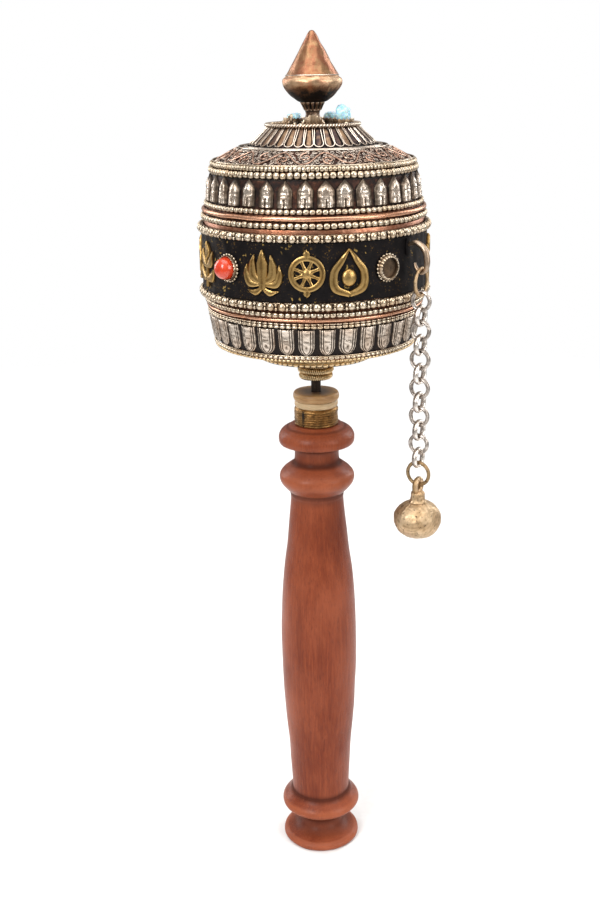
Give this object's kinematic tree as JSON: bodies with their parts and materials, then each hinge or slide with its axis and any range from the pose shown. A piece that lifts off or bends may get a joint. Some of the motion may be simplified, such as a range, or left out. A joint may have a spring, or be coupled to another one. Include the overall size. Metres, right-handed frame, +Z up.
{
  "type": "prayer wheel",
  "caption": "Hand-held prayer wheel: turned wooden handle, spinning lidded drum on a spindle, and a swinging chain with a brass weight.",
  "frame": {"origin": "middle of the handle's flat butt", "axes": "+Z up the spindle from the handle to the finial, -Y the front, +X to the right; the chain hangs at the front right"},
  "size_m": [0.0833, 0.0812, 0.311],
  "materials": {
    "wood": "turned hardwood, oiled, terracotta red, satin",
    "bone": "cream bone, smooth",
    "horn": "brown horn, smooth",
    "iron": "dark iron rod",
    "brass": "old brass, worn, dark in the hollows",
    "weight_brass": "cast brass, rubbed bright",
    "copper": "bare copper sheet, lightly tarnished",
    "white_metal": "silvered white metal, bright on the high points and black in the hollows",
    "chain_metal": "silvered wire, tarnished",
    "lacquer": "black lacquer with rubbed gilt specks",
    "coral": "polished orange coral",
    "turquoise": "pale rough turquoise",
    "paper": "rolled plain paper"
  },
  "bodies": {
    "handle": {"handle": "wood", "ferrule": "brass", "bone_washer": "bone", "horn_washer": "horn", "spindle": "iron"},
    "drum": {"drum_wall": "copper", "base_plate": "brass", "boss": "brass", "core_tube": "brass", "prayer_scroll": "paper", "painted_band": "lacquer", "lower_petal_band": "white_metal", "band_bead_ring_upper": "white_metal", "band_bead_ring_lower": "white_metal", "base_bead_ring_upper": "white_metal", "base_copper_wire": "copper", "base_bead_ring_lower": "white_metal", "base_rim_ring": "white_metal", "band_setting_1": "white_metal", "band_setting_2": "white_metal", "band_setting_3": "white_metal", "band_setting_4": "white_metal", "coral_1": "coral", "coral_3": "coral", "coral_4": "coral", "chain_staple": "brass"},
    "lid": {"lid_shell": "copper", "upper_petal_band": "white_metal", "filigree_panel": "white_metal", "lotus_panel": "brass", "crown_ring": "white_metal", "rim_braid_ring": "white_metal", "rim_bead_ring": "white_metal", "lid_bead_ring_upper": "white_metal", "lid_copper_wire": "copper", "lid_bead_ring_lower": "white_metal", "crown_settings": "white_metal", "turquoise_1": "turquoise", "turquoise_2": "turquoise", "turquoise_3": "turquoise"},
    "finial": {"finial_neck": "brass", "finial_bowl": "copper", "finial_cone": "copper"},
    "hook_ring": {"hook_ring": "weight_brass"},
    "chain_link_01": {"chain_link_01": "chain_metal"},
    "chain_link_02": {"chain_link_02": "chain_metal"},
    "chain_link_03": {"chain_link_03": "chain_metal"},
    "chain_link_04": {"chain_link_04": "chain_metal"},
    "chain_link_05": {"chain_link_05": "chain_metal"},
    "chain_link_06": {"chain_link_06": "chain_metal"},
    "chain_link_07": {"chain_link_07": "chain_metal"},
    "chain_link_08": {"chain_link_08": "chain_metal"},
    "chain_link_09": {"chain_link_09": "chain_metal"},
    "chain_link_10": {"chain_link_10": "chain_metal"},
    "chain_link_11": {"chain_link_11": "chain_metal"},
    "chain_link_12": {"chain_link_12": "chain_metal"},
    "weight_ring": {"weight_ring": "weight_brass"},
    "weight": {"weight": "weight_brass"}
  },
  "joints": [
    {"name": "drum_spin", "type": "hinge", "parent": "handle", "child": "drum", "pos_m": [0, 0, 0.23], "axis": [0, 0, 1], "continuous": true},
    {"name": "finial_lift", "type": "slide", "parent": "handle", "child": "finial", "axis": [0, 0, 1], "range_m": [0, 0.03]},
    {"name": "lid_lift", "type": "slide", "parent": "drum", "child": "lid", "axis": [0, 0, 1], "range_m": [0, 0.018]},
    {"name": "hook_ring_swing", "type": "hinge", "parent": "drum", "child": "hook_ring", "pos_m": [0.03457, -0.0285, 0.2349], "axis": [0.848, -0.5299, 0], "range_deg": [-25, 25]},
    {"name": "chain_link_01_swing", "type": "hinge", "parent": "hook_ring", "child": "chain_link_01", "pos_m": [0.03457, -0.0285, 0.22735], "axis": [-0.5299, -0.848, 0], "range_deg": [0, 90]},
    {"name": "chain_link_02_swing", "type": "hinge", "parent": "chain_link_01", "child": "chain_link_02", "pos_m": [0.03457, -0.0285, 0.22235], "axis": [0.848, -0.5299, 0], "range_deg": [-10, 10]},
    {"name": "chain_link_03_swing", "type": "hinge", "parent": "chain_link_02", "child": "chain_link_03", "pos_m": [0.03457, -0.0285, 0.2174], "axis": [-0.5299, -0.848, 0], "range_deg": [0, 12]},
    {"name": "chain_link_04_swing", "type": "hinge", "parent": "chain_link_03", "child": "chain_link_04", "pos_m": [0.03457, -0.0285, 0.21245], "axis": [0.848, -0.5299, 0], "range_deg": [-10, 10]},
    {"name": "chain_link_05_swing", "type": "hinge", "parent": "chain_link_04", "child": "chain_link_05", "pos_m": [0.03457, -0.0285, 0.2075], "axis": [-0.5299, -0.848, 0], "range_deg": [0, 12]},
    {"name": "chain_link_06_swing", "type": "hinge", "parent": "chain_link_05", "child": "chain_link_06", "pos_m": [0.03457, -0.0285, 0.20255], "axis": [0.848, -0.5299, 0], "range_deg": [-10, 10]},
    {"name": "chain_link_07_swing", "type": "hinge", "parent": "chain_link_06", "child": "chain_link_07", "pos_m": [0.03457, -0.0285, 0.1976], "axis": [-0.5299, -0.848, 0], "range_deg": [-6, 12]},
    {"name": "chain_link_08_swing", "type": "hinge", "parent": "chain_link_07", "child": "chain_link_08", "pos_m": [0.03457, -0.0285, 0.19265], "axis": [0.848, -0.5299, 0], "range_deg": [-10, 10]},
    {"name": "chain_link_09_swing", "type": "hinge", "parent": "chain_link_08", "child": "chain_link_09", "pos_m": [0.03457, -0.0285, 0.1877], "axis": [-0.5299, -0.848, 0], "range_deg": [-6, 12]},
    {"name": "chain_link_10_swing", "type": "hinge", "parent": "chain_link_09", "child": "chain_link_10", "pos_m": [0.03457, -0.0285, 0.18275], "axis": [0.848, -0.5299, 0], "range_deg": [-10, 10]},
    {"name": "chain_link_11_swing", "type": "hinge", "parent": "chain_link_10", "child": "chain_link_11", "pos_m": [0.03457, -0.0285, 0.1778], "axis": [-0.5299, -0.848, 0], "range_deg": [-6, 12]},
    {"name": "chain_link_12_swing", "type": "hinge", "parent": "chain_link_11", "child": "chain_link_12", "pos_m": [0.03457, -0.0285, 0.17285], "axis": [0.848, -0.5299, 0], "range_deg": [-10, 10]},
    {"name": "weight_ring_swing", "type": "hinge", "parent": "chain_link_12", "child": "weight_ring", "pos_m": [0.03457, -0.0285, 0.1679], "axis": [-0.5299, -0.848, 0], "range_deg": [-6, 12]},
    {"name": "weight_swing", "type": "hinge", "parent": "weight_ring", "child": "weight", "pos_m": [0.03457, -0.0285, 0.16125], "axis": [0.848, -0.5299, 0], "range_deg": [-25, 25]}
  ],
  "couplings": [
    {"joint": "lid_lift", "follows": "finial_lift", "ratio": 0.6}
  ]
}
